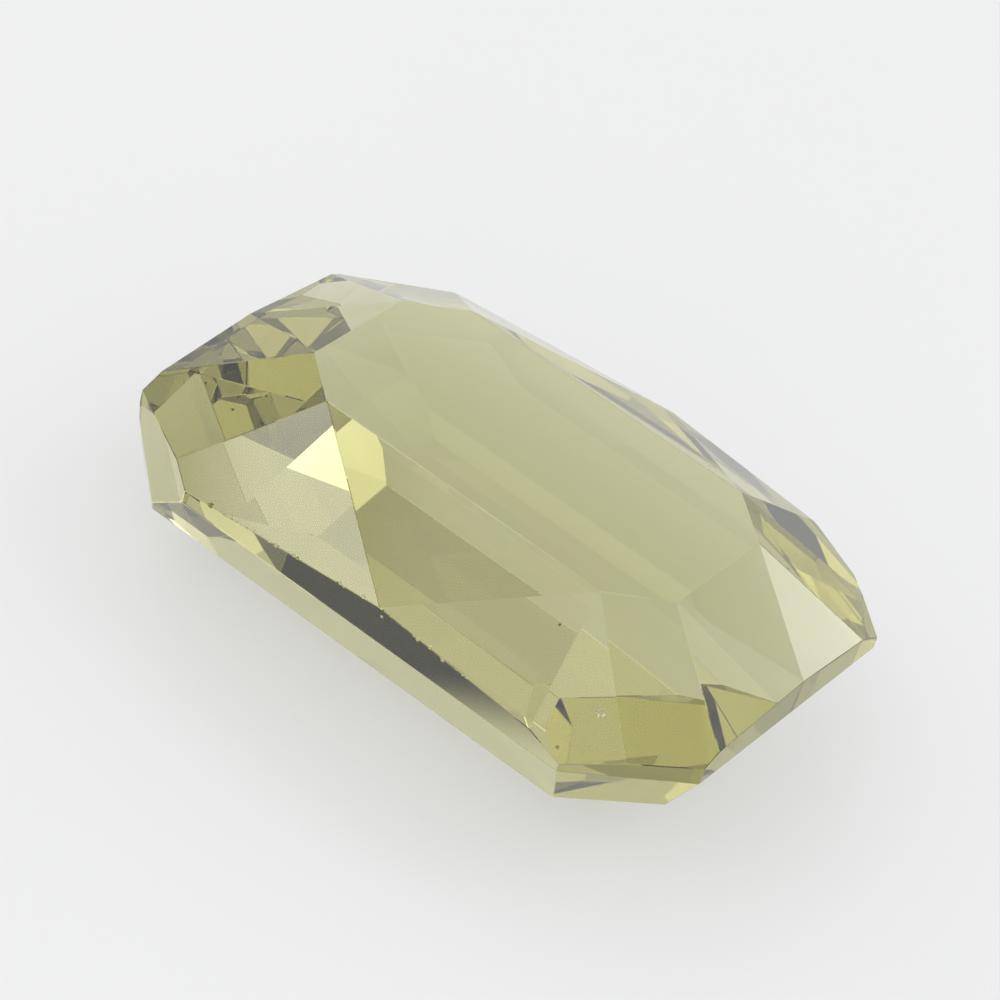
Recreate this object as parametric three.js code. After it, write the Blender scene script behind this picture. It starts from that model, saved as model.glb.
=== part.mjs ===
// A cut sapphire: rectangle with cut corners, brilliant-style crown, straight girdle, stepped pavilion.
// Millimetres. +X runs along the length, +Y across the width, +Z up through the table.
// The origin is on the keel facet, straight below the middle of the table.
import * as THREE from 'three';

// Driving dimensions. Heights in the tables below are measured from the girdle plane.
const PAVILION_DEPTH = 1.8;
const TABLE_HEIGHT = 1.14;
const HALF_WIDTH = 2.87;
const RIGHT_END = 4.06;
const LEFT_END = 4.2;
const GIRDLE_UNDERSIDE = -0.1;

// Table corners, and the peaks of the girdle's upper edge that the star facets point at.
const TABLE_SIDE_X = 2.02;
const TABLE_SIDE_Y = 1.405;
const TABLE_END_X = 2.69;
const TABLE_END_Y = 0.825;
const SIDE_PEAK = { x: 0.19, z: 0.36 };
const RIGHT_PEAK = { y: 0.17, z: 0.364 };
const LEFT_PEAK = { y: 0, z: 0.33 };

// Girdle walls: compass angle of the outward direction, and distance from the stone's middle.
const WALLS = [
  { angle: -90, reach: HALF_WIDTH },
  { angle: 90, reach: HALF_WIDTH },
  { angle: 0, reach: RIGHT_END },
  { angle: 180, reach: LEFT_END },
  { angle: -45.7, reach: 4.07 },
  { angle: 47, reach: 4.15 },
  { angle: -122.5, reach: 3.86 },
  { angle: 129, reach: 4.02 },
];

// Pavilion steps: compass angle, reach at the girdle's underside, then each step's slope and lower level.
const PAVILION = [
  { angle: -90, reach: HALF_WIDTH, steps: [[58.9, -1.02], [28, -1.54], [21.1, -PAVILION_DEPTH]] },
  { angle: 90, reach: HALF_WIDTH, steps: [[57.2, -1.08], [21.3, -1.67], [40.4, -PAVILION_DEPTH]] },
  { angle: 0, reach: RIGHT_END, steps: [[63.1, -1.16], [45, -1.72], [8, -PAVILION_DEPTH]] },
  { angle: 180, reach: LEFT_END, steps: [[67.8, -0.98], [19.5, -1.49], [23, -PAVILION_DEPTH]] },
  { angle: -45.7, reach: 4.07, steps: [[60, -0.98], [42, -1.14], [27, -PAVILION_DEPTH]] },
  { angle: 47, reach: 4.15, steps: [[60, -1.02], [50.9, -1.54], [37.9, -PAVILION_DEPTH]] },
  { angle: -131, reach: 4.22, steps: [[76, -1.1], [38.3, -1.26], [33.1, -PAVILION_DEPTH]] },
  { angle: 129, reach: 4.02, steps: [[60, -1.02], [28, -1.54], [37.5, -PAVILION_DEPTH]] },
];

// Single facets that break the pavilion's corners: compass angle, slope, and reach 1 mm down.
const BREAKS = [
  { angle: -72.8, slope: 15.1, reach: 4.15 },
  { angle: -37.9, slope: 22.1, reach: 3.55 },
];

const MERGE = 1e-4;
const MIDDLE = new THREE.Vector3(0, 0, PAVILION_DEPTH);

function point(x, y, z) {
  return new THREE.Vector3(x, y, z + PAVILION_DEPTH);
}

// A plane through three points, its normal turned away from the stone's middle.
function through(a, b, c) {
  const plane = new THREE.Plane().setFromCoplanarPoints(a, b, c);
  return plane.distanceToPoint(MIDDLE) > 0 ? plane.negate() : plane;
}

// A plane facing a compass angle, leaning down by a slope, touching a given reach at a height.
// Slope 90 is upright and slope 0 faces straight down.
function leaning(angle, slope, reach, z) {
  const turn = THREE.MathUtils.degToRad(angle);
  const tilt = THREE.MathUtils.degToRad(slope);
  const normal = new THREE.Vector3(
    Math.cos(turn) * Math.sin(tilt),
    Math.sin(turn) * Math.sin(tilt),
    -Math.cos(tilt),
  );
  const touch = point(Math.cos(turn) * reach, Math.sin(turn) * reach, z);
  return new THREE.Plane().setFromNormalAndCoplanarPoint(normal, touch);
}

function girdle() {
  return WALLS.map(({ angle, reach }) => leaning(angle, 90, reach, 0));
}

function crown() {
  const planes = [];
  const corner = (sx, sy) => point(sx * TABLE_SIDE_X, sy * TABLE_SIDE_Y, TABLE_HEIGHT);
  const end = (sx, sy) => point(sx * TABLE_END_X, sy * TABLE_END_Y, TABLE_HEIGHT);
  const rightPeak = point(RIGHT_END, RIGHT_PEAK.y, RIGHT_PEAK.z);
  const leftPeak = point(-LEFT_END, LEFT_PEAK.y, LEFT_PEAK.z);
  planes.push(through(corner(1, 1), corner(-1, 1), corner(1, -1)));
  planes.push(through(end(1, -1), end(1, 1), rightPeak));
  planes.push(through(end(-1, -1), end(-1, 1), leftPeak));
  for (const side of [-1, 1]) {
    const peak = point(SIDE_PEAK.x, side * HALF_WIDTH, SIDE_PEAK.z);
    const dip = point(2.41, side * HALF_WIDTH, 0.18);
    const rightTip = point(3.424, side * 2.344, 0.104);
    planes.push(through(corner(-1, side), corner(1, side), peak));
    planes.push(through(corner(1, side), peak, dip));
    planes.push(through(corner(1, side), dip, rightTip));
    planes.push(through(corner(1, side), end(1, side), rightTip));
    planes.push(through(end(1, side), rightPeak, point(4, side * 1.632, 0.28)));
    planes.push(through(corner(-1, side), peak, point(-2.64, side * HALF_WIDTH, 0.076)));
    planes.push(through(corner(-1, side), end(-1, side), point(-3.7, side * 2.35, 0.06)));
    planes.push(through(end(-1, side), leftPeak, point(-4.2, side * 1.632, 0.2)));
  }
  return planes;
}

function pavilion() {
  const planes = [leaning(0, 0, 0, -PAVILION_DEPTH)];
  for (const { angle, reach, steps } of PAVILION) {
    let radius = reach;
    let level = GIRDLE_UNDERSIDE;
    for (const [slope, below] of steps) {
      planes.push(leaning(angle, slope, radius, level));
      radius -= (level - below) / Math.tan(THREE.MathUtils.degToRad(slope));
      level = below;
    }
  }
  for (const { angle, slope, reach } of BREAKS) planes.push(leaning(angle, slope, reach, -1));
  return planes;
}

// The point where three planes meet, or null when two of them are parallel.
function meeting(a, b, c) {
  const bc = b.normal.clone().cross(c.normal);
  const share = a.normal.dot(bc);
  if (Math.abs(share) < 1e-7) return null;
  return bc
    .multiplyScalar(-a.constant)
    .addScaledVector(c.normal.clone().cross(a.normal), -b.constant)
    .addScaledVector(a.normal.clone().cross(b.normal), -c.constant)
    .divideScalar(share);
}

function cornersOf(planes) {
  const corners = [];
  for (let i = 0; i < planes.length; i += 1) {
    for (let j = i + 1; j < planes.length; j += 1) {
      for (let k = j + 1; k < planes.length; k += 1) {
        const spot = meeting(planes[i], planes[j], planes[k]);
        if (!spot) continue;
        if (planes.some((plane) => plane.distanceToPoint(spot) > MERGE / 2)) continue;
        if (corners.some((other) => other.distanceTo(spot) < MERGE)) continue;
        corners.push(spot);
      }
    }
  }
  return corners;
}

// One closed body: every facet is a fan of triangles over the corners that lie on its plane.
function facetedBody(planes) {
  const corners = cornersOf(planes);
  const index = [];
  for (const plane of planes) {
    const ids = corners.map((_, id) => id)
      .filter((id) => Math.abs(plane.distanceToPoint(corners[id])) < MERGE);
    if (ids.length < 3) continue;
    const middle = new THREE.Vector3();
    ids.forEach((id) => middle.addScaledVector(corners[id], 1 / ids.length));
    const across = corners[ids[0]].clone().sub(middle).normalize();
    const up = plane.normal.clone().cross(across);
    const bearing = (id) => {
      const arm = corners[id].clone().sub(middle);
      return Math.atan2(arm.dot(up), arm.dot(across));
    };
    ids.sort((a, b) => bearing(a) - bearing(b));
    for (let n = 1; n < ids.length - 1; n += 1) index.push(ids[0], ids[n], ids[n + 1]);
  }
  const geometry = new THREE.BufferGeometry();
  const flat = corners.flatMap((corner) => corner.toArray());
  geometry.setAttribute('position', new THREE.Float32BufferAttribute(flat, 3));
  geometry.setIndex(index);
  geometry.computeVertexNormals();
  return geometry;
}

const stone = new THREE.Mesh(
  facetedBody([...girdle(), ...crown(), ...pavilion()]),
  new THREE.MeshStandardMaterial({ color: 0xb9bb7f, roughness: 0.05, metalness: 0 }),
);
stone.name = 'stone';

const part = new THREE.Group();
part.name = 'sapphire_gemstone';
part.add(stone);

export default part;
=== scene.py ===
"""Looks of the cut sapphire: a clear olive-yellow stone on a pale ground, in an even white light."""
import math
import random

import bpy
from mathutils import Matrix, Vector


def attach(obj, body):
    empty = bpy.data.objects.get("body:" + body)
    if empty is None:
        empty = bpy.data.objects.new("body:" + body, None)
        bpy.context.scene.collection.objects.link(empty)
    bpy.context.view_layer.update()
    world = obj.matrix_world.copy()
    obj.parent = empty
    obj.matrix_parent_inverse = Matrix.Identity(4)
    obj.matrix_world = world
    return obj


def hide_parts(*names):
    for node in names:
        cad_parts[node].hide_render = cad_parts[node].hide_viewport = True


MM = 0.001

# Main sizes of the stone in millimetres; heights are measured from the girdle plane
PAVILION_DEPTH = 1.8
TABLE_HEIGHT = 1.14
HALF_WIDTH = 2.87
RIGHT_END = 4.06
LEFT_END = 4.2
GIRDLE_UNDERSIDE = -0.1
TABLE_SIDE_X = 2.02
TABLE_SIDE_Y = 1.405
TABLE_END_X = 2.69
TABLE_END_Y = 0.825

# Peaks of the girdle's upper edge that the star facets point at: place along the side, and height
SIDE_PEAK = (0.19, 0.36)
RIGHT_PEAK = (0.17, 0.364)
LEFT_PEAK = (0, 0.33)

# Girdle walls: compass angle of the outward direction, distance from the middle
WALLS = [
    (-90, HALF_WIDTH),
    (90, HALF_WIDTH),
    (0, RIGHT_END),
    (180, LEFT_END),
    (-45.7, 4.07),
    (47, 4.15),
    (-122.5, 3.86),
    (129, 4.02),
]

# Pavilion steps: compass angle, reach at the girdle's underside, each step's slope and lower level
PAVILION = [
    (-90, HALF_WIDTH, [(58.9, -1.02), (28, -1.54), (21.1, -PAVILION_DEPTH)]),
    (90, HALF_WIDTH, [(57.2, -1.08), (21.3, -1.67), (40.4, -PAVILION_DEPTH)]),
    (0, RIGHT_END, [(63.1, -1.16), (45, -1.72), (8, -PAVILION_DEPTH)]),
    (180, LEFT_END, [(67.8, -0.98), (19.5, -1.49), (23, -PAVILION_DEPTH)]),
    (-45.7, 4.07, [(60, -0.98), (42, -1.14), (27, -PAVILION_DEPTH)]),
    (47, 4.15, [(60, -1.02), (50.9, -1.54), (37.9, -PAVILION_DEPTH)]),
    (-131, 4.22, [(76, -1.1), (38.3, -1.26), (33.1, -PAVILION_DEPTH)]),
    (129, 4.02, [(60, -1.02), (28, -1.54), (37.5, -PAVILION_DEPTH)]),
]

# Single facets that break the pavilion's corners: compass angle, slope, reach 1 mm below the girdle
BREAKS = [
    (-72.8, 15.1, 4.15),
    (-37.9, 22.1, 3.55),
]

# How the crystal bends and tints light
CRYSTAL_IOR = 1.77
CRYSTAL_TINT = (0.65, 0.635, 0.33)
CRYSTAL_DENSITY = 265.0
SURFACE_TINT = (1.0, 1.0, 0.76)
SURFACE_FILM = (0.975, 0.98, 0.73)

# Polishing rounds the edges by this much, and wear has chipped the near girdle edge this many times
EDGE_ROUNDING = 0.007
CHIP_COUNT = 34

# Small flaws in the stone: place in millimetres, with heights from the girdle plane; each grain of dust
# has its size as well
FEATHER = (2.848, -2.198, 0.36)
NEEDLE = (1.903, -1.885, 0.808)
RUSTY_SPOT = (2.74, -2.74, 0.07)
DUST = [
    (-0.41, -2.13, 0.728, 0.012),
    (0.586, -1.517, 1.053, 0.009),
    (0.281, -2.466, 0.549, 0.012),
    (0.439, -1.982, 0.806, 0.010),
    (0.24, -2.85, 0.26, 0.022),
    (2.674, -1.323, 0.88, 0.010),
    (3.496, -1.212, 0.59, 0.011),
    (2.06, -2.60, 0.35, 0.008),
]

# The light around the stone: an even white room, and a dim gap low behind that darkens the girdle
FAR_SIDE = (-0.36, 0.93)
ROOM_LIGHT = 0.85
GAP_LIGHT = 0.05
GAP_BOTTOM = (0.12, 0.145)
GAP_TOP = (0.25, 0.29)
GAP_SIDES = (0.80, 0.88)

# Soft panels and dark cards around the stone: compass angle, height angle and half width in degrees,
# and the light that each adds or takes away
PANELS = [
    (65, 25, 4, 2.0),
    (45, 27, 3, 1.2),
    (45, 32, 5, 0.6),
    (210, 55, 4, 1.8),
    (180, 50, 6, 1.6),
    (140, 50, 10, 1.3),
    (240, 50, 15, 1.0),
    (300, 15, 10, 1.0),
    (40, 50, 15, 0.9),
    (290, 55, 25, 0.6),
    (120, 45, 10, -0.2),
    (20, 10, 15, -0.8),
    (200, 60, 6, -0.8),
    (228, 58, 4, -1.8),
]

# The ground's two close tones, and how much it glows: an even glow that is painted fill light,
# lightening the stone's shadow on it
GROUND_TONES = ((0.415, 0.420, 0.422), (0.445, 0.447, 0.450))
GROUND_FILL_GLOW = 0.40

# The camera's place in millimetres from the girdle plane, its turn in degrees and its lens
CAMERA_PLACE = (17.34, -34.29, 30.77)
CAMERA_TURN = (50.27, -13.26, 37.93)
CAMERA_LENS = 151.3


class Field:
    """A shader value with ordinary arithmetic; each operation adds one maths node."""

    def __init__(self, tree, socket):
        self.tree = tree
        self.socket = socket

    def node(self, kind, settings=None, values=None, output=0):
        made = self.tree.nodes.new(kind)
        for name, value in (settings or {}).items():
            setattr(made, name, value)
        for name, value in (values or {}).items():
            if isinstance(value, Field):
                self.tree.links.new(value.socket, made.inputs[name])
            else:
                made.inputs[name].default_value = value
        return Field(self.tree, made.outputs[output])

    def maths(self, operation, left, right):
        return self.node("ShaderNodeMath", {"operation": operation}, {0: left, 1: right})

    def __add__(self, other):
        return self.maths("ADD", self, other)

    def __radd__(self, other):
        return self.maths("ADD", other, self)

    def __sub__(self, other):
        return self.maths("SUBTRACT", self, other)

    def __rsub__(self, other):
        return self.maths("SUBTRACT", other, self)

    def __mul__(self, other):
        return self.maths("MULTIPLY", self, other)

    def __rmul__(self, other):
        return self.maths("MULTIPLY", other, self)

    def along(self, x, y, z):
        values = {0: self, 1: (x, y, z)}
        return self.node("ShaderNodeVectorMath", {"operation": "DOT_PRODUCT"}, values, output="Value")

    def step(self, low, high):
        values = {"Value": self, "From Min": low, "From Max": high}
        return self.node("ShaderNodeMapRange", {"interpolation_type": "SMOOTHSTEP"}, values)

    def noise(self, scale, detail=3.0, roughness=0.5):
        values = {"Vector": self, "Scale": scale, "Detail": detail, "Roughness": roughness}
        return self.node("ShaderNodeTexNoise", None, values)

    def blend(self, low, high):
        """Goes from one colour to another as this value goes from 0 to 1."""
        values = {0: self, 6: (*low, 1.0), 7: (*high, 1.0)}
        return self.node("ShaderNodeMix", {"data_type": "RGBA"}, values, output=2)


def new_material(name):
    """A fresh material; returns it with its Principled shader and the piece's own coordinates."""
    material = bpy.data.materials.new(name)
    material.use_nodes = True
    tree = material.node_tree
    shader = tree.nodes["Principled BSDF"]
    coordinates = tree.nodes.new("ShaderNodeTexCoord")
    return material, tree, shader, Field(tree, coordinates.outputs["Object"])


def feed(field, shader, name):
    field.tree.links.new(field.socket, shader.inputs[name])


def crystal_material():
    """Clear crystal: plain transmission, its own IOR, and colour soaked up along the path inside."""
    material, tree, shader, spot = new_material("crystal")
    shader.inputs["Transmission Weight"].default_value = 1.0
    shader.inputs["IOR"].default_value = CRYSTAL_IOR
    shader.inputs["Roughness"].default_value = 0.0
    film = spot.noise(260.0, 2.0, 0.5).step(0.3, 0.7)
    feed(film.blend(SURFACE_TINT, SURFACE_FILM), shader, "Base Color")
    absorption = tree.nodes.new("ShaderNodeVolumeAbsorption")
    absorption.inputs["Color"].default_value = (*CRYSTAL_TINT, 1.0)
    absorption.inputs["Density"].default_value = CRYSTAL_DENSITY
    tree.links.new(absorption.outputs["Volume"], tree.nodes["Material Output"].inputs["Volume"])
    return material


def ground_material():
    """White paper with a faint mottle, and a faint even glow that is painted fill light lightening the
    stone's shadow on it.
    """
    material, tree, shader, spot = new_material("ground")
    mottle = spot.noise(60.0, 5.0, 0.6)
    feed(mottle.blend(*GROUND_TONES), shader, "Base Color")
    shader.inputs["Emission Color"].default_value = (1.0, 1.0, 1.0, 1.0)
    # Painted fill light: the ground glows evenly so that the stone's shadow on it stays light
    shader.inputs["Emission Strength"].default_value = GROUND_FILL_GLOW
    feed(0.85 + mottle * 0.1, shader, "Roughness")
    shader.inputs["Specular IOR Level"].default_value = 0.1
    return material


def spot_at(x, y, z):
    return Vector((x, y, z + PAVILION_DEPTH)) * MM


def leaning(angle, slope, reach, z):
    """A cutting plane: the point it touches and its outward direction."""
    turn = math.radians(angle)
    tilt = math.radians(slope)
    out = Vector((math.cos(turn) * math.sin(tilt), math.sin(turn) * math.sin(tilt), -math.cos(tilt)))
    return spot_at(math.cos(turn) * reach, math.sin(turn) * reach, z), out


def through(a, b, c):
    """A cutting plane through three points, turned away from the stone's middle."""
    out = (b - a).cross(c - a).normalized()
    if out.dot(spot_at(0, 0, 0) - a) > 0:
        out.negate()
    return a, out


def crown_cuts():
    """Table, star, flank and corner facets above the girdle."""
    side = {}
    end = {}
    for x in (-1, 1):
        for y in (-1, 1):
            side[x, y] = spot_at(x * TABLE_SIDE_X, y * TABLE_SIDE_Y, TABLE_HEIGHT)
            end[x, y] = spot_at(x * TABLE_END_X, y * TABLE_END_Y, TABLE_HEIGHT)
    right_peak = spot_at(RIGHT_END, *RIGHT_PEAK)
    left_peak = spot_at(-LEFT_END, *LEFT_PEAK)
    cuts = [
        through(side[1, 1], side[-1, 1], side[1, -1]),
        through(end[1, -1], end[1, 1], right_peak),
        through(end[-1, -1], end[-1, 1], left_peak),
    ]
    for y in (-1, 1):
        peak = spot_at(SIDE_PEAK[0], y * HALF_WIDTH, SIDE_PEAK[1])
        dip = spot_at(2.41, y * HALF_WIDTH, 0.18)
        right_tip = spot_at(3.424, y * 2.344, 0.104)
        cuts += [
            through(side[-1, y], side[1, y], peak),
            through(side[1, y], peak, dip),
            through(side[1, y], dip, right_tip),
            through(side[1, y], end[1, y], right_tip),
            through(end[1, y], right_peak, spot_at(4, y * 1.632, 0.28)),
            through(side[-1, y], peak, spot_at(-2.64, y * HALF_WIDTH, 0.076)),
            through(side[-1, y], end[-1, y], spot_at(-3.7, y * 2.35, 0.06)),
            through(end[-1, y], left_peak, spot_at(-4.2, y * 1.632, 0.2)),
        ]
    return cuts


def pavilion_cuts():
    """Stepped facets below the girdle, the facets between them, and the flat keel facet."""
    cuts = [leaning(0, 0, 0, -PAVILION_DEPTH)]
    for angle, reach, steps in PAVILION:
        level = GIRDLE_UNDERSIDE
        for slope, below in steps:
            cuts.append(leaning(angle, slope, reach, level))
            reach -= (level - below) / math.tan(math.radians(slope))
            level = below
    cuts += [leaning(angle, slope, reach, -1) for angle, slope, reach in BREAKS]
    return cuts


def enter_edit(piece):
    bpy.ops.object.select_all(action="DESELECT")
    piece.select_set(True)
    bpy.context.view_layer.objects.active = piece
    bpy.ops.object.mode_set(mode="EDIT")


def cut_stone():
    """The rough block is ground down facet by facet, as a cutter does it."""
    bpy.ops.object.select_all(action="DESELECT")
    bpy.ops.mesh.primitive_cube_add(size=0.012, location=(0, 0, 0.002))
    stone = bpy.context.active_object
    stone.name = "cut_stone"
    bpy.ops.object.transform_apply(location=True, rotation=True, scale=True)
    bpy.ops.object.mode_set(mode="EDIT")
    walls = [leaning(angle, 90, reach, 0) for angle, reach in WALLS]
    for place, out in walls + crown_cuts() + pavilion_cuts():
        bpy.ops.mesh.select_all(action="SELECT")
        bpy.ops.mesh.bisect(
            plane_co=place, plane_no=out, use_fill=True, clear_outer=True, threshold=1e-8
        )
    bpy.ops.mesh.select_all(action="SELECT")
    bpy.ops.mesh.remove_doubles(threshold=1e-6)
    bpy.ops.mesh.normals_make_consistent(inside=False)
    bpy.ops.object.mode_set(mode="OBJECT")
    bpy.ops.object.shade_flat()
    return stone


def soften_edges(stone):
    """Polishing rounds the edges by a hair."""
    enter_edit(stone)
    bpy.ops.mesh.select_mode(type="EDGE")
    bpy.ops.mesh.select_all(action="DESELECT")
    bpy.ops.mesh.edges_select_sharp(sharpness=math.radians(7))
    bpy.ops.mesh.bevel(offset=EDGE_ROUNDING * MM, segments=1, clamp_overlap=False)
    bpy.ops.mesh.select_all(action="SELECT")
    bpy.ops.mesh.remove_doubles(threshold=5e-7)
    bpy.ops.mesh.normals_make_consistent(inside=False)
    bpy.ops.object.mode_set(mode="OBJECT")
    bpy.ops.object.shade_flat()


def chip_girdle(stone):
    """Tiny chips along the upper edge of the long near wall."""
    rng = random.Random(7)
    chips = []
    peak_x, peak_z = SIDE_PEAK
    for _ in range(CHIP_COUNT):
        x = rng.uniform(-2.5, 1.6)
        fall = 0.1 if x < peak_x else 0.081
        edge = peak_z - fall * abs(x - peak_x)
        size = rng.uniform(0.02, 0.05)
        out = size * rng.uniform(0.45, 0.75)
        bpy.ops.object.select_all(action="DESELECT")
        place = spot_at(x, -HALF_WIDTH - out * 0.6, edge + out * 0.7)
        bpy.ops.mesh.primitive_ico_sphere_add(subdivisions=1, radius=size * MM, location=place)
        chip = bpy.context.active_object
        chip.rotation_euler = (rng.uniform(0, 3), rng.uniform(0, 3), rng.uniform(0, 3))
        chip.scale = (rng.uniform(0.8, 2.0), 1, 1)
        chips.append(chip)
    bpy.ops.object.select_all(action="DESELECT")
    for chip in chips:
        chip.select_set(True)
    bpy.context.view_layer.objects.active = chips[0]
    bpy.ops.object.join()
    cutter = bpy.context.active_object
    bpy.ops.object.transform_apply(location=True, rotation=True, scale=True)
    bpy.ops.object.select_all(action="DESELECT")
    stone.select_set(True)
    bpy.context.view_layer.objects.active = stone
    cut = stone.modifiers.new("chips", "BOOLEAN")
    cut.operation = "DIFFERENCE"
    cut.solver = "EXACT"
    cut.use_self = True
    cut.object = cutter
    bpy.ops.object.modifier_apply(modifier=cut.name)
    bpy.data.objects.remove(cutter)


def flaw_material(name, dark, light):
    material, tree, shader, spot = new_material(name)
    feed(spot.noise(30000.0).blend(dark, light), shader, "Base Color")
    shader.inputs["Roughness"].default_value = 0.6
    return material


def add_flaw(name, grains, material):
    """A few rough grains joined into one small piece: each grain is a place, a size and a stretch."""
    made = []
    for n, (place, size, stretch) in enumerate(grains):
        bpy.ops.object.select_all(action="DESELECT")
        bpy.ops.mesh.primitive_ico_sphere_add(subdivisions=1, radius=size * MM, location=place)
        grain = bpy.context.active_object
        grain.scale = stretch
        grain.rotation_euler = (n * 1.3, n * 0.7, n * 2.1)
        made.append(grain)
    for grain in made:
        grain.select_set(True)
    bpy.context.view_layer.objects.active = made[0]
    if len(made) > 1:
        bpy.ops.object.join()
    flaw = bpy.context.active_object
    flaw.name = name
    bpy.ops.object.transform_apply(location=True, rotation=True, scale=True)
    flaw.data.materials.append(material)
    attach(flaw, "root")
    return flaw


def lay_ground():
    bpy.ops.mesh.primitive_plane_add(size=3.0, location=(0, 0, -0.00001))
    ground = bpy.context.active_object
    ground.name = "ground"
    bpy.ops.object.transform_apply(location=True, rotation=True, scale=True)
    ground.data.materials.append(ground_material())
    return ground


def add_camera():
    lens = bpy.data.cameras.new("camera")
    camera = bpy.data.objects.new("camera", lens)
    bpy.context.scene.collection.objects.link(camera)
    camera.location = spot_at(*CAMERA_PLACE)
    camera.rotation_euler = [math.radians(angle) for angle in CAMERA_TURN]
    lens.lens = CAMERA_LENS
    lens.sensor_width = 36
    lens.clip_start = 0.001
    lens.clip_end = 20
    bpy.context.scene.camera = camera


def set_surroundings():
    """An even white room, a dim gap low behind the stone, and soft panels and dark cards."""
    world = bpy.data.worlds.new("surroundings")
    bpy.context.scene.world = world
    world.use_nodes = True
    tree = world.node_tree
    coordinates = tree.nodes.new("ShaderNodeTexCoord")
    toward = Field(tree, coordinates.outputs["Generated"])
    height = toward.along(0, 0, 1)
    behind = toward.along(*FAR_SIDE, 0)
    gap = height.step(*GAP_BOTTOM) * (1.0 - height.step(*GAP_TOP)) * behind.step(*GAP_SIDES)
    light = ROOM_LIGHT * (1.0 - gap * (1.0 - GAP_LIGHT))
    for turn, rise, width, strength in PANELS:
        turn, rise = math.radians(turn), math.radians(rise)
        level = math.cos(rise)
        facing = toward.along(math.cos(turn) * level, math.sin(turn) * level, math.sin(rise))
        edge = math.cos(math.radians(width * 1.25)), math.cos(math.radians(width * 0.75))
        light = light + facing.step(*edge) * strength
    light = light.maths("MAXIMUM", light, 0.03)
    shade = tree.nodes["Background"]
    shade.inputs["Color"].default_value = (1.0, 1.0, 1.0, 1.0)
    tree.links.new(light.socket, shade.inputs["Strength"])


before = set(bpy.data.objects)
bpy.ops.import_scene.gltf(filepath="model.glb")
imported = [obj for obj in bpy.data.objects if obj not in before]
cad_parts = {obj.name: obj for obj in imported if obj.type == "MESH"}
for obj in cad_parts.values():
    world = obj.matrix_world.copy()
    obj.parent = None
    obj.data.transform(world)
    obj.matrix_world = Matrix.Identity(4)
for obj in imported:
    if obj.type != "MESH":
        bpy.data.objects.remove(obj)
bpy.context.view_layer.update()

stone = cut_stone()
soften_edges(stone)
chip_girdle(stone)
stone.data.materials.append(crystal_material())
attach(stone, "root")
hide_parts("stone")

rng = random.Random(3)
pale = flaw_material("pale_flaw", (0.75, 0.78, 0.74), (0.95, 0.96, 0.93))
brown = flaw_material("brown_flaw", (0.10, 0.06, 0.02), (0.25, 0.14, 0.05))
rust = flaw_material("rusty_flaw", (0.45, 0.20, 0.05), (0.65, 0.35, 0.12))
feather = []
for _ in range(9):
    shift = (rng.uniform(-0.06, 0.06), rng.uniform(-0.05, 0.05), rng.uniform(-0.02, 0.01))
    size = rng.uniform(0.012, 0.024)
    stretch = (rng.uniform(1, 2.4), 0.7, 0.4)
    feather.append((spot_at(*FEATHER) + Vector(shift) * MM, size, stretch))
add_flaw("feather_crystal", feather, pale)
lean = Vector((0, -0.012, 0.02)) * MM
needle = [(spot_at(*NEEDLE) + lean * n, 0.014, (0.6, 0.8, 1.6)) for n in (-1, 0, 1)]
add_flaw("dark_needle", needle, brown)
add_flaw("rusty_spot", [(spot_at(*RUSTY_SPOT), 0.03, (1, 0.8, 0.6))], rust)
add_flaw("fine_dust", [(spot_at(x, y, z), size, (1, 1, 1)) for x, y, z, size in DUST], pale)

ground = lay_ground()

add_camera()
set_surroundings()

scene = bpy.context.scene
scene.view_settings.view_transform = "Standard"
scene.cycles.max_bounces = 32
scene.cycles.transmission_bounces = 32
scene.cycles.glossy_bounces = 16
scene.cycles.caustics_refractive = True
scene.cycles.caustics_reflective = True
